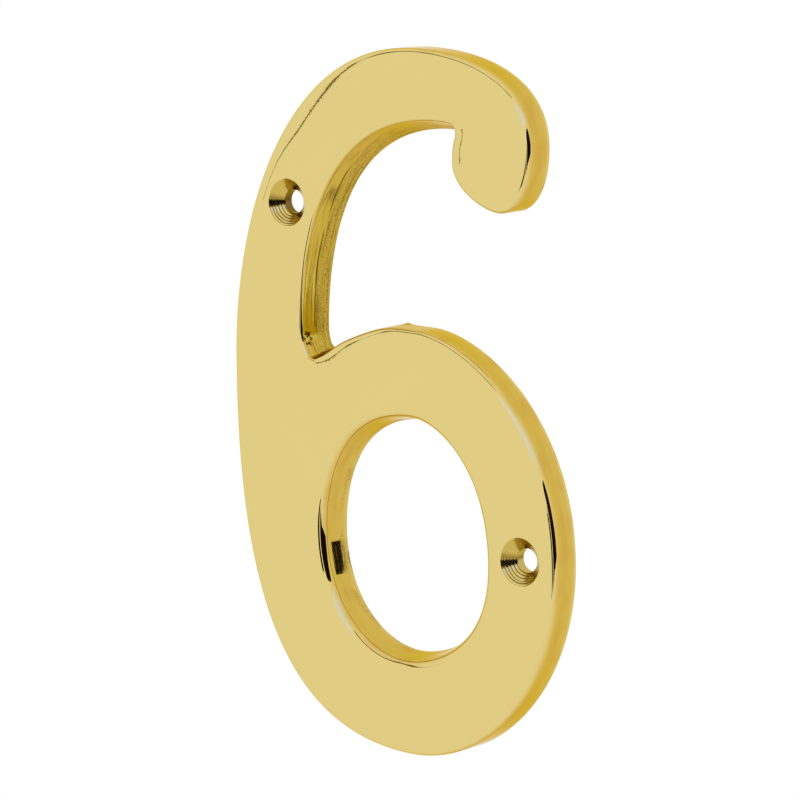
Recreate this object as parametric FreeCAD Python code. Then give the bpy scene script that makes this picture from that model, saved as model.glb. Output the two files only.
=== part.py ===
"""A cast brass door number, the numeral six, 102 mm high.

One solid with a flat polished face, rounded front edges, a bowl opening with sloping walls,
two countersunk screw holes on a diagonal and a shallow hollow in the back.

Frame: the origin is midway between the two screw holes, on the back of the metal that they go through.
The rim stands behind it, so the door is at Y = RIM_HEIGHT. X points right as the numeral is read,
Z points up, and the polished face looks along -Y.
All sizes are in millimetres.
"""
import FreeCAD, Part
import math
import os

from FreeCAD import Vector

# Body
METAL_DEPTH = 3.3         # metal at the screw holes, from the hollow back to the polished face
RIM_HEIGHT = 1.2          # how far the rim stands behind that, to the door
RIM_WIDTH = 2.4           # width of the rim that lies on the door
EDGE_ROUND = 0.85         # radius of the polished front edge
BOWL_SLOPE = 0.8          # how much wider the bowl opening is at the face than at the door
HOOK_SLOPE = 0.7          # the same for the wall inside the hook
CROTCH_SLOPE_X = 0.4      # how far the crotch moves left from the door to the face
CROTCH_SLOPE_Z = 0.5      # how far it drops
CROTCH_ROUND = 0.4        # radius in the corner between hook and bowl
NOTCH_ROUND = 0.8         # radius in the corner between hook and terminal

# Screw holes
HOLE_OFFSET_X = 21.8      # each hole's distance from the centre line, the upper one to the left
HOLE_OFFSET_Z = 23.8      # each hole's distance above or below the origin
HOLE_DIAMETER = 3.5
SINK_DIAMETER = 7.0
SINK_ANGLE = 90.0         # full angle of the countersink
HOLE_BREAK = 0.2          # broken edge where the hole leaves the web

# Outer outline: where each bulge reaches furthest
LEFT_X, LEFT_Z = -32.4, 1.2
TOP_X, TOP_Z = 1.5, 47.3
HOOK_RIGHT_X, HOOK_RIGHT_Z = 23.2, 34.2
TERMINAL_LOW_X, TERMINAL_LOW_Z = 17.2, 25.0
TERMINAL_LEFT_X, TERMINAL_LEFT_Z = 8.8, 31.7
NOTCH_X, NOTCH_Z = 9.1, 35.7
HOOK_INSIDE_X, HOOK_INSIDE_Z = -17.6, 5.9
CROTCH_X, CROTCH_Z = -16.7, 2.4
BOWL_TOP_X, BOWL_TOP_Z = 2.2, 7.2
RIGHT_X, RIGHT_Z = 28.3, -24.6
BOTTOM_X, BOTTOM_Z = 1.3, -54.8

# Bowl opening at the door
EYE_TOP_X, EYE_TOP_Z = 1.2, -6.3
EYE_LEFT_X, EYE_LEFT_Z = -14.2, -23.3
EYE_BOTTOM_X, EYE_BOTTOM_Z = 0.2, -40.3
EYE_RIGHT_X, EYE_RIGHT_Z = 14.7, -25.6

# Fullness of each quarter turn, leaving and arriving: 0.55 gives an ellipse, more gives a squarer turn
FULL_LEFT_TO_TOP = (0.43, 0.71)
FULL_TOP_TO_HOOK = (0.43, 0.78)
FULL_HOOK_TO_LOW = (0.66, 0.53)
FULL_LOW_TO_LEFT = (0.30, 0.59)
FULL_BOWL_TO_RIGHT = (0.35, 0.67)
FULL_RIGHT_TO_BOTTOM = (0.56, 0.53)
FULL_BOTTOM_TO_LEFT = (0.80, 0.56)
FULL_EYE_LEFT_TO_TOP = (0.46, 0.76)
FULL_EYE_TOP_TO_RIGHT = (0.35, 0.69)
FULL_EYE_RIGHT_TO_BOTTOM = (0.79, 0.30)
FULL_EYE_BOTTOM_TO_LEFT = (0.48, 0.65)

# Directions in which the outline runs at its two corners, in degrees from +X
TERMINAL_AT_NOTCH = 78.0
HOOK_AT_NOTCH = 175.0
HOOK_AT_CROTCH = -64.0
BOWL_AT_CROTCH = 24.0

# How strongly the outline holds its direction where a stretch meets a corner, as a share of the stretch
PULL_TERMINAL = (0.31, 0.66)
PULL_HOOK = (0.75, 0.56)
PULL_CROTCH = (0.40, 0.45)
PULL_BOWL = (0.77, 0.30)

CLEAR = 1.0               # how far cutting tools run past a face


def towards(degrees, length):
    """A step of the given length in the numeral's plane, at degrees from +X towards +Z."""
    angle = math.radians(degrees)
    return Vector(length * math.cos(angle), 0, length * math.sin(angle))


def curve(start, start_handle, end_handle, end):
    """One smooth stretch with a control handle at each end."""
    bezier = Part.BezierCurve()
    bezier.setPoles([start, start_handle, end_handle, end])
    return bezier.toShape()


def quarter(start, end, fullness, upright):
    """A quarter turn between two extremes: it leaves upright or level and arrives the other way."""
    leave, arrive = fullness
    if upright:
        start_handle = Vector(start.x, start.y, start.z + leave * (end.z - start.z))
        end_handle = Vector(end.x + arrive * (start.x - end.x), end.y, end.z)
    else:
        start_handle = Vector(start.x + leave * (end.x - start.x), start.y, start.z)
        end_handle = Vector(end.x, end.y, end.z + arrive * (start.z - end.z))
    return curve(start, start_handle, end_handle, end)


def corner_shift(arriving, leaving, inset):
    """How far a corner moves when the two stretches that meet there move into the metal by inset."""
    first = towards(arriving - 90, 1)
    second = towards(leaving - 90, 1)
    return (first + second) * (inset / (1 + first.dot(second)))


def outer_wire(y, depth_share, inset):
    """The numeral's outer edge at y, moved into the metal by inset.

    depth_share is 0 at the door and 1 at the polished face.
    """
    slope = HOOK_SLOPE * depth_share
    left = Vector(LEFT_X + inset, y, LEFT_Z)
    top = Vector(TOP_X, y, TOP_Z - inset)
    hook_right = Vector(HOOK_RIGHT_X - inset, y, HOOK_RIGHT_Z)
    low = Vector(TERMINAL_LOW_X, y, TERMINAL_LOW_Z + inset)
    terminal_left = Vector(TERMINAL_LEFT_X + inset, y, TERMINAL_LEFT_Z)
    notch = Vector(NOTCH_X, y, NOTCH_Z) + towards(TERMINAL_AT_NOTCH, slope)
    notch = notch + corner_shift(TERMINAL_AT_NOTCH, HOOK_AT_NOTCH, inset)
    hook_inside = Vector(HOOK_INSIDE_X - slope - inset, y, HOOK_INSIDE_Z)
    crotch = Vector(CROTCH_X - CROTCH_SLOPE_X * depth_share, y, CROTCH_Z - CROTCH_SLOPE_Z * depth_share)
    crotch = crotch + corner_shift(HOOK_AT_CROTCH, BOWL_AT_CROTCH, inset)
    bowl_top = Vector(BOWL_TOP_X, y, BOWL_TOP_Z - inset)
    right = Vector(RIGHT_X - inset, y, RIGHT_Z)
    bottom = Vector(BOTTOM_X, y, BOTTOM_Z + inset)

    up = notch.distanceToPoint(terminal_left)
    across = notch.x - hook_inside.x
    down = hook_inside.distanceToPoint(crotch)
    over = bowl_top.x - crotch.x
    return Part.Wire([
        quarter(left, top, FULL_LEFT_TO_TOP, True),
        quarter(top, hook_right, FULL_TOP_TO_HOOK, False),
        quarter(hook_right, low, FULL_HOOK_TO_LOW, True),
        quarter(low, terminal_left, FULL_LOW_TO_LEFT, False),
        curve(terminal_left, terminal_left + towards(90, PULL_TERMINAL[0] * up),
              notch - towards(TERMINAL_AT_NOTCH, PULL_TERMINAL[1] * up), notch),
        curve(notch, notch + towards(HOOK_AT_NOTCH, PULL_HOOK[0] * across),
              hook_inside + towards(90, PULL_HOOK[1] * (notch.z - hook_inside.z)), hook_inside),
        curve(hook_inside, hook_inside - towards(90, PULL_CROTCH[0] * down),
              crotch - towards(HOOK_AT_CROTCH, PULL_CROTCH[1] * down), crotch),
        curve(crotch, crotch + towards(BOWL_AT_CROTCH, PULL_BOWL[0] * over),
              bowl_top - towards(0, PULL_BOWL[1] * over), bowl_top),
        quarter(bowl_top, right, FULL_BOWL_TO_RIGHT, False),
        quarter(right, bottom, FULL_RIGHT_TO_BOTTOM, True),
        quarter(bottom, left, FULL_BOTTOM_TO_LEFT, False),
    ])


def eye_wire(y, depth_share, inset):
    """The bowl opening's edge at y, wider towards the face and moved into the metal by inset."""
    grown = BOWL_SLOPE * depth_share + inset
    left = Vector(EYE_LEFT_X - grown, y, EYE_LEFT_Z)
    top = Vector(EYE_TOP_X, y, EYE_TOP_Z + grown)
    right = Vector(EYE_RIGHT_X + grown, y, EYE_RIGHT_Z)
    bottom = Vector(EYE_BOTTOM_X, y, EYE_BOTTOM_Z - grown)
    return Part.Wire([
        quarter(left, top, FULL_EYE_LEFT_TO_TOP, True),
        quarter(top, right, FULL_EYE_TOP_TO_RIGHT, False),
        quarter(right, bottom, FULL_EYE_RIGHT_TO_BOTTOM, True),
        quarter(bottom, left, FULL_EYE_BOTTOM_TO_LEFT, False),
    ])


def upright_edge_near(shape, x, z):
    """The edge that runs from back to front closest to the given place."""
    def distance(edge):
        middle = edge.CenterOfMass
        return math.hypot(middle.x - x, middle.z - z)

    running = [e for e in shape.Edges if abs(e.Vertexes[0].Y - e.Vertexes[-1].Y) > METAL_DEPTH]
    return min(running, key=distance)


def face_edges(shape):
    """The edges that lie in the polished face's plane."""
    return [e for e in shape.Edges if all(abs(v.Y + METAL_DEPTH) < 1e-4 for v in e.Vertexes)]


def plate():
    """The numeral's body with its bowl opening and rounded corners and front edges."""
    body = Part.makeLoft([outer_wire(RIM_HEIGHT, 0, 0), outer_wire(-METAL_DEPTH, 1, 0)], True, True)
    past = CLEAR / (METAL_DEPTH + RIM_HEIGHT)
    eye = Part.makeLoft([eye_wire(RIM_HEIGHT + CLEAR, -past, 0), eye_wire(-METAL_DEPTH - CLEAR, 1 + past, 0)],
                        True, True)
    body = body.makeFillet(NOTCH_ROUND, [upright_edge_near(body, NOTCH_X, NOTCH_Z)])
    body = body.makeFillet(CROTCH_ROUND, [upright_edge_near(body, CROTCH_X, CROTCH_Z)])
    body = body.cut(eye)
    return body.makeFillet(EDGE_ROUND, face_edges(body))


def hollow():
    """The shallow hollow in the back, which leaves a rim all round."""
    start = RIM_HEIGHT + CLEAR
    inwards = Vector(0, -start, 0)
    inside = Part.Face(outer_wire(start, 0, RIM_WIDTH)).extrude(inwards)
    eye_rim = Part.Face(eye_wire(start, 0, RIM_WIDTH)).extrude(inwards)
    return inside.cut(eye_rim)


def screw_hole(x, z):
    """Bore, countersink and broken rear edge as one cutting tool."""
    radius = HOLE_DIAMETER / 2
    sink_radius = SINK_DIAMETER / 2
    spread = math.tan(math.radians(SINK_ANGLE / 2))
    outwards = Vector(0, -1, 0)
    bore = Part.makeCylinder(radius, METAL_DEPTH + 2 * CLEAR, Vector(x, CLEAR, z), outwards)
    sink_depth = (sink_radius - radius) / spread
    sink = Part.makeCone(radius, sink_radius + CLEAR * spread, sink_depth + CLEAR,
                         Vector(x, -METAL_DEPTH + sink_depth, z), outwards)
    chamfer = Part.makeCone(radius + HOLE_BREAK, radius, HOLE_BREAK, Vector(x, 0, z), outwards)
    return bore.fuse([sink, chamfer])


def numeral():
    """The finished numeral as one solid."""
    body = plate()
    body = body.cut(hollow())
    for side in (-1, 1):
        body = body.cut(screw_hole(side * HOLE_OFFSET_X, -side * HOLE_OFFSET_Z))
    return body.Solids[0]


os.makedirs("parts", exist_ok=True)
numeral_six = numeral()
numeral_six.exportStep("parts/numeral_six.step")
box = numeral_six.BoundBox
print("valid", numeral_six.isValid(), "volume", round(numeral_six.Volume, 1), "faces", len(numeral_six.Faces))
print("box", [round(v, 2) for v in (box.XMin, box.XMax, box.YMin, box.YMax, box.ZMin, box.ZMax)])
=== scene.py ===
"""Looks of a cast brass door number: polished metal, a white studio and the camera.

Everything is in the row frame, in metres: X to the reader's right, Z up, the polished face towards -Y.
"""
import math
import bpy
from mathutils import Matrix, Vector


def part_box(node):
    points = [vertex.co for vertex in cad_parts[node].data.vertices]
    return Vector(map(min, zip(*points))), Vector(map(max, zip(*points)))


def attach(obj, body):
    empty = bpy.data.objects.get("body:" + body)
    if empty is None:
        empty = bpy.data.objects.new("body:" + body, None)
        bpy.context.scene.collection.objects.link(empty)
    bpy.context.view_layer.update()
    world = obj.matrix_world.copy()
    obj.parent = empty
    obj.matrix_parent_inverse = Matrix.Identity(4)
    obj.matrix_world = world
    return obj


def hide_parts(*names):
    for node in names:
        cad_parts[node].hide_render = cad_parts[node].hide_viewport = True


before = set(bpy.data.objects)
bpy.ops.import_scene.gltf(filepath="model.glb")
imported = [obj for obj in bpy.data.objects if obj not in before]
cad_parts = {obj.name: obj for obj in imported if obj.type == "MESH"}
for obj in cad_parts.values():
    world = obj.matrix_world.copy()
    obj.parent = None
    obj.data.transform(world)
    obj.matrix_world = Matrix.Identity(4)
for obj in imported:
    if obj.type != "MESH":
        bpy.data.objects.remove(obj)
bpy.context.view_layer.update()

from types import SimpleNamespace

import bpy
import numpy as np
from bpy.props import FloatProperty, FloatVectorProperty, PointerProperty
from mathutils import Vector
from mathutils.kdtree import KDTree

bl_info = {
    "name": "Brass door number",
    "version": (1, 0, 0),
    "blender": (4, 5, 0),
    "location": "3D View > Sidebar > Door number",
    "description": "Dresses a cast brass numeral in polished brass and sets up its studio",
    "category": "Object",
}

NODE = "numeral_six"
PIECE = "numeral_six_casting"
LOW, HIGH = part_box(NODE)

# Shape of the numeral
FACE_Y = LOW.y                  # plane of the polished face
HOLE_OFFSET_X = 0.0218          # each screw hole's distance from the centre line, the upper one to the left
HOLE_OFFSET_Z = 0.0238          # each one's distance above or below the origin
SINK_RADIUS = 0.0035            # countersink at the face
BORE_RADIUS = 0.00175           # screw hole
NUB_X, NUB_Z = -0.0024, 0.0072  # gate mark on the rear edge of the bowl's top wall
NUB_HEIGHT = 0.00018
NUB_REACH = 0.0007
NUB_WINDOW = 0.004              # only the outline this near to NUB_Z has the mark
PASTE_PLACE = (-0.0180, -0.0026, 0.0042)  # in the crotch of the hook, on the wall

# How the casting's mesh is made
FLAT_TOLERANCE = 1e-5
FLAT_NORMAL = 0.9999            # a face is flat where its normal lies this far along Y
MERGE_DISTANCE = 1e-6
CLOSE_POINTS = 0.00015          # CAD points nearer to each other than this count as one
FLAT_OUTLINES = 4               # of the face (edge, opening, two countersinks), and also of the rim
LOOP_PARTS = 4                  # new points for each CAD point round an outline
SEARCH_PARTS = 16               # the same where the nearest place on an outline is looked up
ROLL_STEPS = 6                  # rings in which the face falls away
ROUND_STEPS = 12                # rings round the edge
WALL_STEPS = 8                  # rings down the wall
WALL_REACH = 0.0012             # the CAD node's walls lie nearer to the outline than this, its hollow doesn't
SINK_MARGIN = 0.0004            # of flat face between a countersink and the roll of the edge, at least
OPENING_SHARE = 0.15            # how hollow the opening counts, as the wheel reaches it more easily
HOLLOW_REACH = 0.003            # an outline's bend is evened out over about this length
HOLLOW_BEND = 20.0              # bend, as one over the radius in metres, that counts as fully hollow
BEND_LIMIT = 1.5                # sharper bends count as this many times fully hollow
NEAR_WEIGHT = 0.1               # a place is near where its weight is more than this share of the largest
SMOOTH_ANGLE = math.radians(30.0)

# How far round the edge a point lies, as kept in the mesh's attribute "station"
ON_FACE, ROUND_START, WALL_START, AT_DOOR, IN_HOLLOW = range(5)

# Zones of the finish: a mask rises from 0 at the first value to 1 at the second, even if that is smaller.
WALL_STATIONS = (ROUND_START + 0.2, WALL_START)
EDGE_BEGINS = (ON_FACE, ON_FACE + 0.5)
EDGE_ENDS = (WALL_START + 0.5, WALL_START)
BEFORE_DOOR = (AT_DOOR + 0.1, AT_DOOR)
CAST_STATIONS = (AT_DOOR + 0.1, AT_DOOR + 0.6)
REAR_DEPTHS = (0.0021, 0.0030)        # from the face to where the wheel doesn't reach a hollow's wall
WHEEL_GAIN = 0.0008                   # how much deeper it reaches where the outline is hardly hollow
WHEEL_GAIN_HOLLOW = (0.4, 0.15)
SLIGHT_HOLLOW = (0.02, 0.10)          # from here on the wheel misses patches of the wall
CORNER_DEPTHS = (0.0036, 0.0044)      # rear corner of the walls
NUB_DEPTHS = (0.0033, 0.0040)
CROTCH_DEPTHS = (0.0032, 0.0020)
CROTCH_TOP = (0.0170, 0.0090)         # heights between which the crotch's painted light sets in, from above
CROTCH_BOTTOM = (0.0036, 0.0046)      # and those between which it ends, near the corner
WARM_REFLECTION_NORMALS = (-0.35, -0.95)    # upward part of the normal on walls that look down, where a warm reflection is painted
PASTE_REACH = (0.0015, 0.0010)        # distance from the middle of the paste
SINK_EDGE = (SINK_RADIUS + 0.00005, SINK_RADIUS - 0.00005)
SINK_DEPTHS = (0.0, 0.0001)
BORE_EDGE = (BORE_RADIUS + 0.00015, BORE_RADIUS)
TURNED_BELOW = (0.15, -0.25)          # the rings show below the axis or right of it, as shares of the radius; on the upper left they are faint and the countersink is painted darker, as shade
TURNED_RIGHT = (-0.1, 0.3)
# Painted dark reflection of the flag in each countersink: left of its axis, about this high, as shares of the
# radius
SINK_FLAG_REFLECTION_LEFT = (-0.6, -0.9)
SINK_FLAG_REFLECTION_UP, SINK_FLAG_REFLECTION_SPREAD = 0.10, 0.32
DEEP_GOLD_DEPTH, DEEP_GOLD_REACH = 0.0019, 0.0014
SEAM_REACH = 0.00016
SEAM_WOBBLE = 0.0004
NUB_MARK_REACH = NUB_REACH * 1.4

# Noises of the finish: grain along each axis in metres, detail and roughness
STREAKS = ((0.006, 0.00022, 0.006), 3.0, 0.5)       # the wheel's lines along the walls
PITS = ((0.00022, 0.00022, 0.00022), 3.0, 0.65)     # skin of the casting that the wheel leaves
PATCHES = ((0.004, 0.002, 0.004), 1.0, 0.5)
HAZE = ((0.02, 0.02, 0.02), 3.0, 0.5)
RIPPLES = ((0.0005, 0.0005, 0.0005), 1.0, 0.5)
CRUMBS = ((0.0005, 0.0005, 0.0005), 2.0, 0.5)       # specks of paste
RING_GRAIN = 1.6                                    # of the rings' unevenness, in ring pitches
RING_DETAIL, RING_ROUGHNESS = 2.0, 0.7
RING_FOLLOW = 0.05                                  # how little it changes round the axis
RING_SHIFT = 5.0                                    # how far it moves a ring, in radians
RING_HEIGHTS = (0.4, 1.6)                           # and how much lower or higher it makes one

# Parts of a noise at which a mark begins to show and shows fully
REAR_PATCHES = (0.42, 0.58)
SEAM_PATCHES = (0.35, 0.60)
WARM_PATCHES = (0.45, 0.75)
CLEAN_STREAKS = (0.55, 0.40)
DIRTY_STREAKS = (0.50, 0.70)
DIRTY_PITS = (0.50, 0.65)
CAST_PITS = (0.3, 0.7)
DIRTY_RINGS = (0.35, 0.90)
CRUMBS_SHOW = (0.49, 0.55)

# How much of a colour or mark is laid over the metal
PATCHY_SHARE = 0.9
CORNER_SHARE = 0.6
DEEP_GOLD_SHARE = 0.35
WARM_SHARE = 0.6
CLEAN_STREAK_SHARE = 0.45
# share of the painted light in the crotch, a lighter colour over the walls' dark reflection of each other
CROTCH_LIGHT_SHARE = 0.9
# share of the painted warm reflection on walls that look down
WARM_REFLECTION_SHARE = 0.7
SINK_SHARES = (0.75, 0.25)            # where the rings are faint and where they are strong: duller metal, laid thicker on the upper left as painted shade
FAINT_RINGS = 0.12
STREAK_GRIME = 0.6
PIT_GRIME = 0.6
SEAM_GRIME = 0.9
NUB_GRIME = 0.85
RING_GRIME = 0.9
# darkness of the flag's painted reflection in the countersinks
FLAG_REFLECTION_DARKNESS = 0.6
BORE_DARKENING, BORE_DARKENING_CHANGE = 0.55, 0.30          # darkening inside the screw holes: the left hole has that much more, the right one less
HAZE_CONTRAST = 0.015
CAST_CONTRAST = 0.2

# Roughness that each part of the finish adds, between the low and the high of its noise where there are two
FACE_ROUGHNESS = (0.02, 0.04)
WALL_ROUGHNESS = (0.0, 0.015)
RECESS_ROUGHNESS = 0.06
REAR_ROUGHNESS = (0.05, 0.30)
SINK_ROUGHNESS = 0.12
CAST_ROUGHNESS = (0.30, 0.45)

# Heights of the marks, in metres
RIPPLE_HEIGHT = 1.2e-6
STREAK_HEIGHT = 6e-6
PIT_HEIGHT = 2.2e-5
SEAM_HEIGHT = -1.0e-5
RING_HEIGHT = 1.0e-5
CAST_HEIGHT = 4e-5

# Studio
CARD_DISTANCE = 1.5             # from the numeral to the studio's cards
FLOOR_SIZE = 30.0
PAPER_ROUGHNESS = 0.9
PAPER_WHITE = 0.95              # share of plain white in the paper as the camera and the metal see it
CLOTH_COLOUR = (0.012, 0.006, 0.003)
TAPE_COLOUR = (0.20, 0.15, 0.006)
SOFTBOX_COLOUR = (0.50, 0.58, 1.0)
SOFTBOX_STRENGTH = 1.75
CLAMP_PLACE = (0.0207, 0.0150, -0.022)
CLAMP_AZIMUTH = math.radians(117.0)
JAW_WIDTHS = (0.00145, 0.00035)
JAW_THICKNESS = 0.001
JAW_HEIGHT = 0.0100
JAW_SPACING = -0.00105
SENSOR_WIDTH = 36.0             # millimetres
NEAREST_SEEN = 0.01

# Outlines of the studio's cards as (azimuth, elevation) in degrees, seen from the numeral: two dark flags
# with a gap straight ahead, a cool softbox above them, and a strip of olive tape to the reader's left.
LEFT_FLAG_LOWER = ((-25.5, -11.8), (-20, -13.2), (-14, -15), (-4.4, -16.9))
LEFT_FLAG_UPPER = ((-25.5, -8.3), (-20, -7), (-14, -5.5), (-4.4, -2.1))
RIGHT_FLAG_LOWER = ((4.4, -16.4), (13, -15), (20, -13.8), (28, -12), (36, -11), (46, -10.5), (58, -8.5),
                    (72, -6.5))
RIGHT_FLAG_UPPER = ((4.4, 2.6), (14, 7.5), (24, 11.5), (33, 15), (41, 17.5), (49, 19), (58, 15), (72, 2))
SOFTBOX_LOWER = ((-27, -6), (-20, -2.5), (-12, 3.5), (-4, 7), (6, 11), (14, 13.5), (24, 17), (33, 20),
                 (41, 22), (49, 24), (57, 25))
SOFTBOX_UPPER = ((-27, 0), (-20, 8), (-12, 16), (-4, 24), (6, 31), (14, 35), (24, 37), (33, 38.5),
                 (41, 38.5), (49, 37), (57, 35))
TAPE_INNER = ((-44.2, -5), (-44.1, -2), (-44.4, 3), (-45.5, 12), (-49, 28), (-48, 34), (-38, 31), (-24, 26),
              (-10, 27), (2, 33))
TAPE_OUTER = ((-44.5, -5), (-44.6, -2), (-45.1, 3), (-47.5, 12), (-57, 30), (-55, 44), (-39, 40), (-24, 34),
              (-9, 34), (3, 38))


class DOORNUMBER_PG_brass(bpy.types.PropertyGroup):
    """Colours and finish of the metal."""

    face_colour: FloatVectorProperty(
        name="Face colour", description="Buffed metal of the face", subtype="COLOR",
        size=3, default=(0.752, 0.606, 0.229), min=0.0, max=1.0)
    wall_colour: FloatVectorProperty(
        name="Wall colour", description="Less buffed metal of the walls", subtype="COLOR",
        size=3, default=(0.658, 0.456, 0.089), min=0.0, max=1.0)
    # Also laid over the countersinks, more thickly on their upper left as painted shade.
    recess_colour: FloatVectorProperty(
        name="Recess colour", subtype="COLOR",
        description="Metal in the hollows of the outline, which the wheel hardly reaches",
        size=3, default=(0.560, 0.385, 0.045), min=0.0, max=1.0)
    # Painted light: a lighter colour where the hook runs into the bowl, laid over the walls' dark reflection
    # of each other.
    crotch_painted_light_colour: FloatVectorProperty(
        name="Crotch colour", description="Clean metal where the hook runs into the bowl and sees its wall",
        subtype="COLOR", size=3, default=(0.670, 0.590, 0.110), min=0.0, max=1.0)
    # Also the painted warm reflection on walls that look down.
    warm_patch_and_reflection_colour: FloatVectorProperty(
        name="Warm colour", description="Slightly redder patches of the walls", subtype="COLOR",
        size=3, default=(0.600, 0.365, 0.070), min=0.0, max=1.0)
    # Also the colour of the flag's painted dark reflection at the left of each countersink.
    grime_and_reflection_colour: FloatVectorProperty(
        name="Grime colour", description="Polishing paste left in pits, seams and turned rings",
        subtype="COLOR", size=3, default=(0.180, 0.105, 0.012), min=0.0, max=1.0)
    # Near-black colour inside the screw holes, more in the left one, and of the specks of paste.
    bore_colour: FloatVectorProperty(
        name="Bore colour", description="Unpolished, stained metal inside the screw holes", subtype="COLOR",
        size=3, default=(0.110, 0.045, 0.004), min=0.0, max=1.0)
    cast_colour: FloatVectorProperty(
        name="Cast colour", description="Metal of the hollow back as it leaves the mould", subtype="COLOR",
        size=3, default=(0.420, 0.300, 0.110), min=0.0, max=1.0)
    edge_tint: FloatVectorProperty(
        name="Edge tint", description="Tint of the metal seen at a low angle", subtype="COLOR",
        size=3, default=(0.90, 0.77, 0.38), min=0.0, max=1.0)
    ring_pitch: FloatProperty(
        name="Ring pitch", description="Distance between the turned rings of a countersink",
        subtype="DISTANCE", default=0.00032, min=0.00005)
    seam_depth: FloatProperty(
        name="Seam depth", description="From the face to the line that the mould's halves leave on the walls",
        subtype="DISTANCE", default=0.0022, min=0.0)


class DOORNUMBER_PG_casting(bpy.types.PropertyGroup):
    """Shape that the buffing wheel leaves along the edges of the face."""

    edge_round: FloatProperty(
        name="Edge rounding", description="Radius between the face and the walls", subtype="DISTANCE",
        default=0.00085, min=0.0001)
    hollow_round: FloatProperty(
        name="Extra rounding in hollows", description="Added to the radius where the outline is hollow",
        subtype="DISTANCE", default=0.0005, min=0.0)
    hollow_crispness: FloatProperty(
        name="Crispness in hollows", description="Taken from the radius in the outline's outer hollows",
        subtype="DISTANCE", default=0.0008, min=0.0)
    roll_width: FloatProperty(
        name="Roll width", description="How far from the edge rounding the face starts to fall away",
        subtype="DISTANCE", default=0.0030, min=0.0003, max=0.004)
    roll_tilt: FloatProperty(
        name="Roll tilt", description="Slope of the face where it meets the edge rounding", subtype="ANGLE",
        default=math.radians(4.0), min=0.0)


class DOORNUMBER_PG_stage(bpy.types.PropertyGroup):
    """Studio and camera."""

    camera_azimuth: FloatProperty(
        name="Camera azimuth", subtype="ANGLE",
        description="Angle of the view from straight ahead, towards the reader's right",
        default=math.radians(40.3))
    camera_elevation: FloatProperty(
        name="Camera elevation", description="Angle of the view above level", subtype="ANGLE",
        default=math.radians(9.1))
    camera_distance: FloatProperty(
        name="Camera distance", description="From the aim point to the lens", subtype="DISTANCE",
        default=0.600, min=0.1)
    camera_lens: FloatProperty(
        name="Focal length", description="Focal length in millimetres for a 36 mm wide frame", default=189.0,
        min=10.0)
    aim: FloatVectorProperty(
        name="Aim point", description="Point in the middle of the picture", subtype="XYZ",
        size=3, default=(-0.0002, FACE_Y, -0.0030))
    floor_drop: FloatProperty(
        name="Floor drop", description="How far the floor lies below the numeral", subtype="DISTANCE",
        default=0.50, min=0.0)


class Graph:
    """Adds nodes to a tree and links them; a value may be a number, a colour or another node's output."""

    def __init__(self, tree):
        self.tree = tree

    def add(self, kind, values=None, **settings):
        node = self.tree.nodes.new(kind)
        for name, setting in settings.items():
            setattr(node, name, setting)
        for name, value in (values or {}).items():
            self.feed(node.inputs[name], value)
        return node

    def feed(self, socket, value):
        if isinstance(value, bpy.types.NodeSocket):
            self.tree.links.new(value, socket)
        else:
            socket.default_value = value

    def math(self, operation, *values, clamp=False):
        return self.add("ShaderNodeMath", dict(enumerate(values)), operation=operation,
                        use_clamp=clamp).outputs[0]

    def product(self, first, *others):
        for other in others:
            first = self.math("MULTIPLY", first, other)
        return first

    def total(self, first, *others):
        for other in others:
            first = self.math("ADD", first, other)
        return first

    def ramp(self, value, low, high):
        """0 below low and 1 above high, smooth between them; falls where high is below low."""
        start, end = (0.0, 1.0) if low < high else (1.0, 0.0)
        return self.add("ShaderNodeMapRange", {
            "Value": value, "From Min": min(low, high), "From Max": max(low, high), "To Min": start,
            "To Max": end}, interpolation_type="SMOOTHSTEP").outputs["Result"]

    def peak(self, value, centre, half_width):
        """1 where the value is at the centre, falling to 0 a half width away."""
        away = self.math("ABSOLUTE", self.math("SUBTRACT", value, centre))
        return self.ramp(away, half_width, 0.0)

    def blend(self, factor, first, second):
        node = self.add("ShaderNodeMix", data_type="RGBA")
        for name, value in (("Factor_Float", factor), ("A_Color", first), ("B_Color", second)):
            self.feed(next(socket for socket in node.inputs if socket.identifier == name), value)
        return next(socket for socket in node.outputs if socket.identifier == "Result_Color")

    def spread(self, factor, low, high):
        """A number that runs from low to high with the factor."""
        return self.total(low, self.product(factor, high - low))

    def noise(self, place, grain, detail, roughness):
        """Noise between 0 and 1, with a grain size along each axis in metres."""
        scaled = self.add("ShaderNodeVectorMath", {0: place, 1: [1.0 / size for size in grain]},
                          operation="MULTIPLY").outputs[0]
        return self.add("ShaderNodeTexNoise", {
            "Vector": scaled, "Scale": 1.0, "Detail": detail, "Roughness": roughness}).outputs["Fac"]


def new_material(name):
    """A node material and its Principled shader."""
    material = bpy.data.materials.new(name)
    material.use_nodes = True
    return material, material.node_tree.nodes["Principled BSDF"]


def direction(azimuth, elevation):
    """Unit vector towards azimuth from straight ahead (to the right) and elevation."""
    return Vector((math.sin(azimuth) * math.cos(elevation),
                   -math.cos(azimuth) * math.cos(elevation),
                   math.sin(elevation)))


def near_hole(point, reach):
    """True within reach of a screw hole's axis."""
    return any(math.hypot(point[0] - side * HOLE_OFFSET_X, point[2] + side * HOLE_OFFSET_Z) < reach
               for side in (-1, 1))


def outline_tree(*loops):
    """A search tree of closely spaced (x, z) points on the loops."""
    points = np.concatenate([smooth_loop(loop, SEARCH_PARTS)[0] for loop in loops])
    tree = KDTree(len(points))
    for i, (x, z) in enumerate(points):
        tree.insert((x, 0.0, z), i)
    tree.balance()
    return tree


def flat_region(mesh, y, facing):
    """The polygons that lie in the plane at y and face along Y in the given sense."""
    return [p for p in mesh.polygons
            if p.normal.y * facing > FLAT_NORMAL and abs(p.center.y - y) < FLAT_TOLERANCE]


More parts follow.
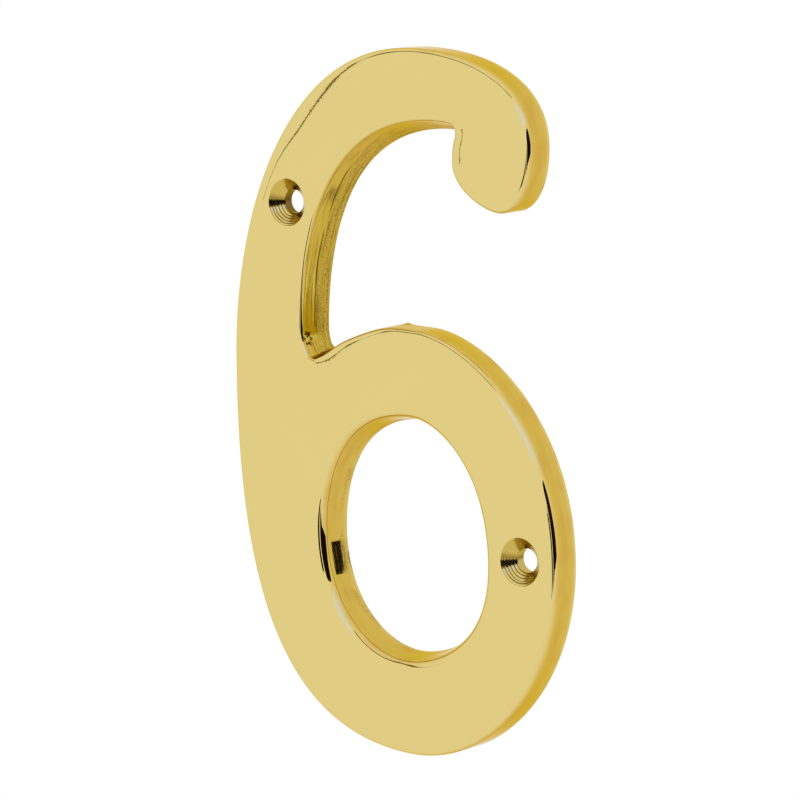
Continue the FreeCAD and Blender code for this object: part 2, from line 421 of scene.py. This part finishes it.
def boundary_loops(mesh, polygons):
    """The closed outlines of a flat region, each as an array of (x, z) points in order, tallest first."""
    used = {}
    for polygon in polygons:
        ring = list(polygon.vertices)
        for start, end in zip(ring, ring[1:] + ring[:1]):
            used[(start, end)] = True
    following = {start: end for start, end in used if (end, start) not in used}
    loops = []
    while following:
        first, current = following.popitem()
        loop = [first]
        while current != first:
            loop.append(current)
            current = following.pop(current)
        points = np.array([mesh.vertices[i].co[:] for i in loop])[:, (0, 2)]
        loops.append(points)
    if len(loops) != FLAT_OUTLINES:
        raise RuntimeError("a flat region of the CAD node has another number of outlines")
    return sorted(loops, key=lambda points: -np.ptp(points[:, 1]))


def smooth_loop(points, parts):
    """A closed cubic spline through the points, sampled at parts places between neighbours.

    Returns the positions and the unit tangents.
    """
    gaps = np.linalg.norm(np.roll(points, -1, 0) - points, axis=1)
    points = points[np.roll(gaps, 1) > CLOSE_POINTS]
    step = np.linalg.norm(np.roll(points, -1, 0) - points, axis=1)
    count = len(points)
    before = np.roll(step, 1)
    matrix = np.zeros((count, count))
    index = np.arange(count)
    matrix[index, index - 1] = step
    matrix[index, index] = 2 * (before + step)
    matrix[index, (index + 1) % count] = before
    ahead = (np.roll(points, -1, 0) - points) / step[:, None]
    behind = np.roll(ahead, 1, 0)
    slopes = np.linalg.solve(matrix, 3 * (step[:, None] * behind + before[:, None] * ahead))
    share = (np.arange(parts) / parts)[None, :, None]
    p0, p1 = points[:, None], np.roll(points, -1, 0)[:, None]
    m0, m1 = (slopes * step[:, None])[:, None], (np.roll(slopes, -1, 0) * step[:, None])[:, None]
    place = ((2 * share**3 - 3 * share**2 + 1) * p0 + (share**3 - 2 * share**2 + share) * m0
             + (3 * share**2 - 2 * share**3) * p1 + (share**3 - share**2) * m1)
    tangent = ((6 * share**2 - 6 * share) * (p0 - p1) + (3 * share**2 - 4 * share + 1) * m0
               + (3 * share**2 - 2 * share) * m1)
    place, tangent = place.reshape(-1, 2), tangent.reshape(-1, 2)
    return place, tangent / np.linalg.norm(tangent, axis=1)[:, None]


def hollowness(place, tangent):
    """How hollow the outline is at each place, from 0 where it bulges to 1, evened out along it.

    Returns that and the matrix of weights that evens a value out along the outline.
    """
    turn = tangent[:, 0] * np.roll(tangent[:, 1], -1) - tangent[:, 1] * np.roll(tangent[:, 0], -1)
    step = np.linalg.norm(np.roll(place, -1, 0) - place, axis=1)
    travelled = np.cumsum(step) - step
    apart = np.abs(travelled[:, None] - travelled[None])
    apart = np.minimum(apart, step.sum() - apart)
    weight = np.exp(-(apart / HOLLOW_REACH) ** 2) * step[None]
    weight /= weight.sum(1)[:, None]
    bend = weight @ np.clip(-turn / step / HOLLOW_BEND, -BEND_LIMIT, BEND_LIMIT)
    return weight @ np.clip(bend, 0.0, 1.0), weight


def edge_band(face_loop, rim_loop, settings, hollow_share, crispness):
    """Rings of points from the flat of the face round its edge and down the wall to the door.

    Returns an array (rings, places round the loop, xyz), each ring's station and each place's hollowness.
    """
    place, tangent = smooth_loop(face_loop, LOOP_PARTS)
    outwards = np.stack([tangent[:, 1], -tangent[:, 0]], 1)
    rim = smooth_loop(rim_loop, SEARCH_PARTS)[0]
    hollow, weight = hollowness(place, tangent)
    general = weight @ outwards
    general /= np.linalg.norm(general, axis=1)[:, None]
    tilt = settings.roll_tilt
    extra = (settings.hollow_round * hollow)[:, None]
    radius = settings.edge_round + extra - (crispness * hollow)[:, None]
    from_sink = np.min([np.linalg.norm(place - (side * HOLE_OFFSET_X, -side * HOLE_OFFSET_Z), axis=1)
                        for side in (-1, 1)], axis=0)[:, None] - SINK_RADIUS - extra
    allowed = np.clip(from_sink - SINK_MARGIN, SINK_MARGIN, settings.roll_width)
    near = weight > weight.max(1)[:, None] * NEAR_WEIGHT
    width = weight @ np.where(near, allowed.T, settings.roll_width).min(1)[:, None]

    foot = place + outwards * settings.edge_round
    nearest = np.argmin(((foot[:, None] - rim[None]) ** 2).sum(2), axis=1)
    if (np.einsum("ij,ij->i", outwards, rim[nearest] - place) < 0).mean() > 0.5:
        raise RuntimeError("the outline runs the wrong way round")

    roll_end = place + outwards * (radius * math.sin(tilt) - extra)
    rings = []
    for i in range(ROLL_STEPS + 1):
        travelled = width * i / ROLL_STEPS
        drop = math.tan(tilt) * travelled**2 / (2 * width)
        rings.append((roll_end + general * (travelled - width), FACE_Y + drop))
    centre_y = rings[-1][1] + radius * math.cos(tilt)
    lean = np.einsum("ij,ij->i", outwards, rim[nearest] - foot)[:, None]
    turn_end = math.pi / 2 - np.arctan2(lean, HIGH.y - centre_y)
    for i in range(1, ROUND_STEPS + 1):
        turn = tilt + (turn_end - tilt) * i / ROUND_STEPS
        rings.append((place + outwards * (radius * np.sin(turn) - extra), centre_y - radius * np.cos(turn)))
    last_place, last_y = rings[-1]
    for i in range(1, WALL_STEPS + 1):
        share = i / WALL_STEPS
        nub = outwards * (NUB_HEIGHT * np.exp(-((place[:, :1] - NUB_X) / NUB_REACH) ** 2)
                          * (np.abs(place[:, 1:] - NUB_Z) < NUB_WINDOW)) * share**2
        rings.append((last_place + (rim[nearest] - last_place) * share + nub,
                      last_y + (HIGH.y - last_y) * share))
    band = np.empty((len(rings), len(place), 3))
    for ring, (xz, y) in zip(band, rings):
        ring[:, 0], ring[:, 1:2], ring[:, 2] = xz[:, 0], y, xz[:, 1]
    stations = np.concatenate([np.linspace(ON_FACE, ROUND_START, ROLL_STEPS, endpoint=False),
                               np.linspace(ROUND_START, WALL_START, ROUND_STEPS, endpoint=False),
                               np.linspace(WALL_START, AT_DOOR, WALL_STEPS + 1)])
    return band, stations, hollow * hollow_share


def add_band(band, vertices, faces):
    """Adds a closed band of quads to the lists of vertices and faces."""
    first = len(vertices)
    rings, around = band.shape[:2]
    vertices.extend(map(tuple, band.reshape(-1, 3)))
    for ring in range(rings - 1):
        for i in range(around):
            a, b = first + ring * around + i, first + ring * around + (i + 1) % around
            faces.append((a, b, b + around, a + around))


def merged_copy(context):
    """A copy of the CAD node, active and selected, with its loose triangles joined."""
    bpy.ops.object.select_all(action="DESELECT")
    casting = bpy.data.objects.new(PIECE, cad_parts[NODE].data.copy())
    context.scene.collection.objects.link(casting)
    casting.select_set(True)
    context.view_layer.objects.active = casting
    bpy.ops.mesh.customdata_custom_splitnormals_clear()
    bpy.ops.object.mode_set(mode="EDIT")
    bpy.ops.mesh.select_all(action="SELECT")
    bpy.ops.mesh.remove_doubles(threshold=MERGE_DISTANCE)
    bpy.ops.object.mode_set(mode="OBJECT")
    return casting


def kept_faces(mesh, rim_outer, rim_eye):
    """The CAD mesh's faces that stay: the hollow back and the screw holes.

    Returns the faces, 1 for each of the back and 0 for each of a hole, and each point's station.
    """
    edge = outline_tree(rim_outer, rim_eye)
    in_hole = [near_hole(v.co, SINK_RADIUS + FLAT_TOLERANCE) for v in mesh.vertices]
    in_back = [v.co.y > -FLAT_TOLERANCE and edge.find((v.co.x, 0.0, v.co.z))[2] > WALL_REACH
               for v in mesh.vertices]
    faces, back = [], []
    for polygon in mesh.polygons:
        of_hole = all(in_hole[i] for i in polygon.vertices)
        of_rim = polygon.normal.y > FLAT_NORMAL and polygon.center.y > HIGH.y - FLAT_TOLERANCE
        if of_hole or (all(in_back[i] for i in polygon.vertices) and not of_rim):
            faces.append(tuple(polygon.vertices))
            back.append(0.0 if of_hole else 1.0)
    return faces, back, [ON_FACE if inside else IN_HOLLOW for inside in in_hole]


def casting_mesh(mesh, settings):
    """The casting's mesh, still open in the planes of the face and the rim, with its attributes."""
    face_outer, face_eye = boundary_loops(mesh, flat_region(mesh, FACE_Y, -1))[:2]
    rim_outer, *rim_inner = boundary_loops(mesh, flat_region(mesh, HIGH.y, 1))
    rim_eye = min(rim_inner, key=lambda points: np.ptp(points[:, 1]))
    faces, back, stations = kept_faces(mesh, rim_outer, rim_eye)
    vertices = [tuple(v.co) for v in mesh.vertices]
    hollow = [0.0] * len(vertices)
    for band, band_stations, band_hollow in (
            edge_band(face_outer, rim_outer[::-1], settings, 1.0, settings.hollow_crispness),
            edge_band(face_eye, rim_eye[::-1], settings, OPENING_SHARE, 0.0)):
        add_band(band, vertices, faces)
        stations.extend(np.repeat(band_stations, band.shape[1]))
        hollow.extend(np.tile(band_hollow, band.shape[0]))
    back += [0.0] * (len(faces) - len(back))
    rebuilt = bpy.data.meshes.new(PIECE)
    rebuilt.from_pydata(vertices, [], faces)
    for name, domain, values in (
            ("station", "POINT", stations), ("hollow", "POINT", hollow), ("back", "FACE", back)):
        rebuilt.attributes.new(name, "FLOAT", domain).data.foreach_set("value", values)
    return rebuilt


def fill_flat(casting, y):
    """Closes the open flat region in the plane at y, round its holes, and leaves the casting in edit mode."""
    bpy.ops.object.mode_set(mode="OBJECT")
    uses = np.zeros(len(casting.data.edges), int)
    np.add.at(uses, np.array([loop.edge_index for loop in casting.data.loops]), 1)
    for element in (casting.data.vertices, casting.data.edges, casting.data.polygons):
        element.foreach_set("select", np.zeros(len(element), bool))
    for edge in casting.data.edges:
        ends = [casting.data.vertices[i] for i in edge.vertices]
        if uses[edge.index] == 1 and all(abs(v.co.y - y) < FLAT_TOLERANCE for v in ends):
            edge.select = True
    bpy.ops.object.mode_set(mode="EDIT")
    bpy.ops.mesh.select_mode(type="EDGE")
    bpy.ops.mesh.fill(use_beauty=True)


class DOORNUMBER_OT_casting(bpy.types.Operator):
    """Makes the numeral's visible casting from the CAD node, with buffed face edges"""

    bl_idname = "doornumber.casting"
    bl_label = "Casting"

    def execute(self, context):
        casting = merged_copy(context)
        casting.data = casting_mesh(casting.data, context.scene.doornumber_casting)
        bpy.ops.object.mode_set(mode="EDIT")
        bpy.ops.mesh.select_all(action="SELECT")
        bpy.ops.mesh.delete_loose(use_verts=True, use_edges=True, use_faces=False)
        bpy.ops.mesh.select_all(action="SELECT")
        bpy.ops.mesh.remove_doubles(threshold=MERGE_DISTANCE)
        for y in (FACE_Y, HIGH.y):
            fill_flat(casting, y)
        bpy.ops.mesh.select_all(action="SELECT")
        bpy.ops.mesh.normals_make_consistent(inside=False)
        bpy.ops.object.mode_set(mode="OBJECT")
        bpy.ops.object.shade_smooth_by_angle(angle=SMOOTH_ANGLE)

        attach(casting, "root")
        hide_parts(NODE)
        return {"FINISHED"}


def finish_places(graph):
    """Where on the casting a spot lies, as named outputs that the other parts of the finish read."""
    coordinates = graph.add("ShaderNodeTexCoord").outputs
    place = coordinates["Object"]
    axes = graph.add("ShaderNodeSeparateXYZ", {0: place}).outputs
    facing = graph.add("ShaderNodeSeparateXYZ", {0: coordinates["Normal"]}).outputs
    station, hollow, back = (graph.add("ShaderNodeAttribute", attribute_name=name).outputs["Fac"]
                             for name in ("station", "hollow", "back"))
    on_wall = graph.ramp(station, *WALL_STATIONS)
    return SimpleNamespace(
        place=place, x=axes["X"], z=axes["Z"], depth=graph.math("SUBTRACT", axes["Y"], FACE_Y),
        facing_up=facing["Z"], hollow=hollow, on_wall=on_wall,
        on_edge=graph.product(graph.ramp(station, *EDGE_BEGINS), graph.ramp(station, *EDGE_ENDS)),
        before_door=graph.ramp(station, *BEFORE_DOOR),
        as_cast=graph.math("MAXIMUM", back, graph.ramp(station, *CAST_STATIONS)),
        in_recess=graph.product(on_wall, hollow))


def add_wall_marks(graph, at, settings):
    """Adds the noises and what the mould, the wheel and its paste leave on the walls to the named outputs."""
    at.streaks, at.pits, at.patches, at.haze, at.ripples, crumbs = (
        graph.noise(at.place, *noise) for noise in (STREAKS, PITS, PATCHES, HAZE, RIPPLES, CRUMBS))
    missed = graph.product(graph.ramp(at.hollow, *SLIGHT_HOLLOW), graph.ramp(at.patches, *REAR_PATCHES),
                           PATCHY_SHARE)
    gain = graph.product(graph.ramp(at.hollow, *WHEEL_GAIN_HOLLOW), -WHEEL_GAIN)
    at.rear = graph.product(graph.ramp(graph.total(at.depth, gain), *REAR_DEPTHS), at.on_wall,
                            graph.math("MAXIMUM", at.hollow, missed))
    wobble = graph.product(graph.math("SUBTRACT", at.patches, 0.5), SEAM_WOBBLE)
    at.seam = graph.product(graph.peak(graph.total(at.depth, wobble), settings.seam_depth, SEAM_REACH),
                            at.in_recess, graph.ramp(at.patches, *SEAM_PATCHES))
    at.nub_mark = graph.product(graph.peak(at.x, NUB_X, NUB_MARK_REACH), graph.ramp(at.depth, *NUB_DEPTHS),
                                at.before_door, graph.peak(at.z, NUB_Z, NUB_WINDOW))
    from_paste = graph.add("ShaderNodeVectorMath", {0: at.place, 1: PASTE_PLACE}, operation="DISTANCE")
    at.crumbs = graph.product(graph.ramp(from_paste.outputs["Value"], *PASTE_REACH),
                              graph.ramp(crumbs, *CRUMBS_SHOW), at.on_wall)


def add_turned_rings(graph, at, settings):
    """Adds the countersinks, their turned rings, the painted dark reflection of the flag at their left and
    the bores to the named outputs.
    """
    at.side = graph.math("SIGN", at.x)
    right_of_axis = graph.math("SUBTRACT", at.x, graph.product(at.side, HOLE_OFFSET_X))
    above_axis = graph.math("ADD", at.z, graph.product(at.side, HOLE_OFFSET_Z))
    from_axis = graph.add("ShaderNodeCombineXYZ", {0: right_of_axis, 2: above_axis}).outputs[0]
    radius = graph.add("ShaderNodeVectorMath", {0: from_axis}, operation="LENGTH").outputs["Value"]
    at.in_sink = graph.product(graph.ramp(radius, *SINK_EDGE), graph.ramp(at.depth, *SINK_DEPTHS))
    at.in_bore = graph.product(graph.ramp(radius, *BORE_EDGE), at.in_sink)
    round_axis = graph.add("ShaderNodeCombineXYZ", {
        0: radius, 1: graph.product(at.x, RING_FOLLOW), 2: graph.product(at.z, RING_FOLLOW)}).outputs[0]
    uneven = graph.noise(round_axis, (settings.ring_pitch * RING_GRAIN,) * 3, RING_DETAIL, RING_ROUGHNESS)
    phase = graph.total(graph.product(radius, 2.0 * math.pi / settings.ring_pitch),
                        graph.product(uneven, RING_SHIFT))
    at.rings = graph.product(graph.spread(graph.math("SINE", phase), 0.5, 1.0),
                             graph.spread(uneven, *RING_HEIGHTS))
    rightwards = graph.math("DIVIDE", right_of_axis, radius)
    upwards = graph.math("DIVIDE", above_axis, radius)
    turned = graph.math("MAXIMUM", graph.ramp(upwards, *TURNED_BELOW), graph.ramp(rightwards, *TURNED_RIGHT))
    at.ring_strength = graph.spread(turned, FAINT_RINGS, 1.0)
    # Painted dark reflection of the flag, a fan at the left of each countersink (kept in at.paste)
    at.paste = graph.product(graph.ramp(rightwards, *SINK_FLAG_REFLECTION_LEFT),
                             graph.peak(upwards, SINK_FLAG_REFLECTION_UP, SINK_FLAG_REFLECTION_SPREAD), at.in_sink)


def brass_colour(graph, at, settings):
    """The metal's colour: the face and the walls, with layers laid over them in turn."""
    def opaque(colour, gain=1.0):
        return [min(part * gain, 1.0) for part in colour] + [1.0]

    bulging = graph.math("SUBTRACT", 1.0, at.hollow)
    face = graph.blend(at.haze, opaque(settings.face_colour, 1.0 - HAZE_CONTRAST),
                       opaque(settings.face_colour, 1.0 + HAZE_CONTRAST))
    mould = graph.blend(graph.ramp(at.pits, *CAST_PITS), opaque(settings.cast_colour, 1.0 - CAST_CONTRAST),
                        opaque(settings.cast_colour))
    rear_corner = graph.product(graph.ramp(at.depth, *CORNER_DEPTHS), bulging, CORNER_SHARE)
    deep_gold = graph.product(graph.peak(at.depth, DEEP_GOLD_DEPTH, DEEP_GOLD_REACH), at.on_wall, bulging,
                              DEEP_GOLD_SHARE)
    warmth = graph.product(graph.ramp(at.patches, *WARM_PATCHES), at.on_wall, WARM_SHARE)
    clean_streaks = graph.product(graph.ramp(at.streaks, *CLEAN_STREAKS), at.in_recess, CLEAN_STREAK_SHARE)
    # Painted light in the crotch: a lighter colour over the walls' dark reflection of each other
    crotch = graph.product(graph.ramp(at.z, *CROTCH_TOP), graph.ramp(at.z, *CROTCH_BOTTOM), at.in_recess,
                           graph.ramp(at.depth, *CROTCH_DEPTHS), CROTCH_LIGHT_SHARE)
    # Painted warm reflection on walls that look down
    painted_warm_reflection = graph.product(graph.ramp(at.facing_up, *WARM_REFLECTION_NORMALS), at.on_wall, WARM_REFLECTION_SHARE)
    # Duller metal of the countersinks, laid thicker on their upper left as painted shade
    sink_dullness_and_shade = graph.product(at.in_sink, graph.spread(at.ring_strength, *SINK_SHARES))
    # Grime, with the flag's painted dark reflection in the countersinks
    grime_and_flag_reflection = graph.total(
        graph.product(graph.ramp(at.streaks, *DIRTY_STREAKS), at.in_recess, STREAK_GRIME),
        graph.product(graph.ramp(at.pits, *DIRTY_PITS), at.rear, PIT_GRIME),
        graph.product(at.seam, SEAM_GRIME),
        graph.product(at.nub_mark, NUB_GRIME),
        graph.product(graph.ramp(at.rings, *DIRTY_RINGS), at.in_sink, at.ring_strength, RING_GRIME),
        graph.product(at.paste, FLAG_REFLECTION_DARKNESS))
    # Darker inside the screw holes, the left one more
    bore_darkening = graph.product(at.in_bore,
                               graph.total(BORE_DARKENING, graph.product(at.side, -BORE_DARKENING_CHANGE)))

    colour = face
    for mask, layer in (
            (at.on_wall, opaque(settings.wall_colour)),
            (rear_corner, face),
            (deep_gold, opaque(settings.recess_colour)),
            (warmth, opaque(settings.warm_patch_and_reflection_colour)),
            (at.in_recess, opaque(settings.recess_colour)),
            (clean_streaks, opaque(settings.wall_colour)),
            (crotch, opaque(settings.crotch_painted_light_colour)),
            (painted_warm_reflection, opaque(settings.warm_patch_and_reflection_colour)),
            (sink_dullness_and_shade, opaque(settings.recess_colour)),
            (graph.math("MINIMUM", grime_and_flag_reflection, 1.0), opaque(settings.grime_and_reflection_colour)),
            (graph.math("MAXIMUM", bore_darkening, at.crumbs), opaque(settings.bore_colour)),
            (at.as_cast, mould)):
        colour = graph.blend(mask, colour, layer)
    return colour


def brass_roughness(graph, at):
    """Nearly a mirror on the face, duller in hollows and countersinks, and rough as cast on the back."""
    return graph.total(graph.spread(at.haze, *FACE_ROUGHNESS),
                       graph.product(at.on_wall, graph.spread(at.patches, *WALL_ROUGHNESS)),
                       graph.product(at.in_recess, at.hollow, RECESS_ROUGHNESS),
                       graph.product(at.rear, graph.spread(at.pits, *REAR_ROUGHNESS)),
                       graph.product(at.in_sink, SINK_ROUGHNESS),
                       graph.product(at.as_cast, graph.spread(at.pits, *CAST_ROUGHNESS)))


def brass_normal(graph, at):
    """The normal with the small heights of ripples, streaks, pits, seam and rings."""
    height = graph.total(graph.product(at.ripples, at.on_edge, RIPPLE_HEIGHT),
                         graph.product(at.streaks, at.on_wall, at.hollow, at.hollow, STREAK_HEIGHT),
                         graph.product(at.pits, at.rear, PIT_HEIGHT),
                         graph.product(at.seam, SEAM_HEIGHT),
                         graph.product(at.rings, at.in_sink, at.ring_strength, RING_HEIGHT),
                         graph.product(at.pits, at.as_cast, CAST_HEIGHT))
    return graph.add("ShaderNodeBump", {"Height": height, "Distance": 1.0, "Strength": 1.0}).outputs["Normal"]


class DOORNUMBER_OT_brass(bpy.types.Operator):
    """Gives the numeral its polished brass"""

    bl_idname = "doornumber.brass"
    bl_label = "Polished brass"

    def execute(self, context):
        settings = context.scene.doornumber_brass
        material, shader = new_material("polished_brass_finish")
        shader.inputs["Metallic"].default_value = 1.0
        shader.inputs["Specular Tint"].default_value = (*settings.edge_tint, 1.0)
        graph = Graph(material.node_tree)
        at = finish_places(graph)
        add_wall_marks(graph, at, settings)
        add_turned_rings(graph, at, settings)
        graph.feed(shader.inputs["Base Color"], brass_colour(graph, at, settings))
        graph.feed(shader.inputs["Roughness"], brass_roughness(graph, at))
        graph.feed(shader.inputs["Normal"], brass_normal(graph, at))
        casting = bpy.data.objects[PIECE]
        casting.data.materials.clear()
        casting.data.materials.append(material)
        return {"FINISHED"}


def white_paper():
    """Paper that keeps the numeral's shadow and is seen, directly or in the metal, as nearly pure white."""
    material, shader = new_material("white_paper")
    shader.inputs["Base Color"].default_value = (1.0, 1.0, 1.0, 1.0)
    shader.inputs["Roughness"].default_value = PAPER_ROUGHNESS
    graph = Graph(material.node_tree)
    path = graph.add("ShaderNodeLightPath").outputs
    seen = graph.total(path["Is Camera Ray"], path["Is Glossy Ray"], path["Is Transmission Ray"])
    white = graph.add("ShaderNodeEmission", {"Color": (1.0, 1.0, 1.0, 1.0), "Strength": 1.0})
    mixed = graph.add("ShaderNodeMixShader", {
        0: graph.math("MULTIPLY", seen, PAPER_WHITE, clamp=True), 1: shader.outputs[0], 2: white.outputs[0]})
    graph.feed(material.node_tree.nodes["Material Output"].inputs["Surface"], mixed.outputs[0])
    return material


def matte(name, colour):
    """A material without any gloss."""
    material, shader = new_material(name)
    shader.inputs["Base Color"].default_value = (*colour, 1.0)
    shader.inputs["Roughness"].default_value = 1.0
    shader.inputs["Specular IOR Level"].default_value = 0.0
    return material


def glowing(name, colour, strength):
    """A material that only gives light."""
    material, shader = new_material(name)
    shader.inputs["Base Color"].default_value = (0.0, 0.0, 0.0, 1.0)
    shader.inputs["Emission Color"].default_value = (*colour, 1.0)
    shader.inputs["Emission Strength"].default_value = strength
    return material


def studio_card(name, lower, upper, material):
    """A strip between two lines of (azimuth, elevation) degrees, bent round the numeral."""
    points = [direction(*map(math.radians, pair)) * CARD_DISTANCE for pair in (*lower, *upper)]
    count = len(lower)
    quads = [(i, i + 1, count + i + 1, count + i) for i in range(count - 1)]
    mesh = bpy.data.meshes.new(name)
    mesh.from_pydata(points, [], quads)
    mesh.materials.append(material)
    card = bpy.data.objects.new(name, mesh)
    bpy.context.scene.collection.objects.link(card)
    card.visible_camera = False


def clamp_jaws(material):
    """Jaws of a dark clamp behind the numeral, which only the metal shows."""
    sideways = Vector((math.cos(CLAMP_AZIMUTH), math.sin(CLAMP_AZIMUTH), 0.0))
    for i, width in enumerate(JAW_WIDTHS):
        bpy.ops.mesh.primitive_cube_add(size=1.0, location=Vector(CLAMP_PLACE) + sideways * JAW_SPACING * i,
                                        rotation=(0.0, 0.0, CLAMP_AZIMUTH))
        jaw = bpy.context.object
        jaw.name = "clamp_jaw_%d" % (i + 1)
        jaw.scale = (width, JAW_THICKNESS, JAW_HEIGHT)
        jaw.data.materials.append(material)
        jaw.visible_camera = False


class DOORNUMBER_OT_stage(bpy.types.Operator):
    """Sets up the white studio and the camera"""

    bl_idname = "doornumber.stage"
    bl_label = "Studio and camera"

    def execute(self, context):
        settings = context.scene.doornumber_stage
        scene = context.scene
        scene.view_settings.view_transform = "Standard"

        world = bpy.data.worlds.new("white_studio")
        scene.world = world
        world.use_nodes = True
        background = world.node_tree.nodes["Background"]
        background.inputs["Color"].default_value = (1.0, 1.0, 1.0, 1.0)
        background.inputs["Strength"].default_value = 1.0

        bpy.ops.object.select_all(action="DESELECT")
        bpy.ops.mesh.primitive_plane_add(size=FLOOR_SIZE, location=(0.0, 0.0, LOW.z - settings.floor_drop))
        floor = context.object
        floor.name = "floor"
        floor.data.materials.append(white_paper())

        cloth = matte("dark_cloth", CLOTH_COLOUR)
        light = glowing("cool_softbox", SOFTBOX_COLOUR, SOFTBOX_STRENGTH)
        tape = matte("olive_tape", TAPE_COLOUR)
        studio_card("left_flag", LEFT_FLAG_LOWER, LEFT_FLAG_UPPER, cloth)
        studio_card("right_flag", RIGHT_FLAG_LOWER, RIGHT_FLAG_UPPER, cloth)
        studio_card("cool_softbox", SOFTBOX_LOWER, SOFTBOX_UPPER, light)
        studio_card("olive_tape", TAPE_INNER, TAPE_OUTER, tape)
        clamp_jaws(cloth)

        aim = Vector(settings.aim)
        away = direction(settings.camera_azimuth, settings.camera_elevation)
        camera_data = bpy.data.cameras.new("camera")
        camera_data.sensor_width = SENSOR_WIDTH
        camera_data.lens = settings.camera_lens
        camera_data.clip_start = NEAREST_SEEN
        camera = bpy.data.objects.new("camera", camera_data)
        scene.collection.objects.link(camera)
        camera.location = aim + away * settings.camera_distance
        camera.rotation_euler = away.to_track_quat("Z", "Y").to_euler()
        scene.camera = camera
        return {"FINISHED"}


class DOORNUMBER_PT_panel(bpy.types.Panel):
    """Lists the steps and their settings"""

    bl_idname = "DOORNUMBER_PT_panel"
    bl_label = "Door number"
    bl_space_type = "VIEW_3D"
    bl_region_type = "UI"
    bl_category = "Door number"

    def draw(self, context):
        for label, group, operator in (
                ("Casting", context.scene.doornumber_casting, DOORNUMBER_OT_casting),
                ("Brass", context.scene.doornumber_brass, DOORNUMBER_OT_brass),
                ("Studio", context.scene.doornumber_stage, DOORNUMBER_OT_stage)):
            box = self.layout.box()
            box.label(text=label)
            for name in group.__annotations__:
                box.prop(group, name)
            box.operator(operator.bl_idname)


CLASSES = (DOORNUMBER_PG_casting, DOORNUMBER_PG_brass, DOORNUMBER_PG_stage, DOORNUMBER_OT_casting,
           DOORNUMBER_OT_brass, DOORNUMBER_OT_stage, DOORNUMBER_PT_panel)


def register():
    for cls in CLASSES:
        bpy.utils.register_class(cls)
    bpy.types.Scene.doornumber_casting = PointerProperty(type=DOORNUMBER_PG_casting)
    bpy.types.Scene.doornumber_brass = PointerProperty(type=DOORNUMBER_PG_brass)
    bpy.types.Scene.doornumber_stage = PointerProperty(type=DOORNUMBER_PG_stage)


def unregister():
    del bpy.types.Scene.doornumber_stage
    del bpy.types.Scene.doornumber_brass
    del bpy.types.Scene.doornumber_casting
    for cls in reversed(CLASSES):
        bpy.utils.unregister_class(cls)


def main():
    """Registers the add-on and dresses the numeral."""
    register()
    bpy.ops.doornumber.casting()
    bpy.ops.doornumber.brass()
    bpy.ops.doornumber.stage()


if __name__ == "__main__":
    main()
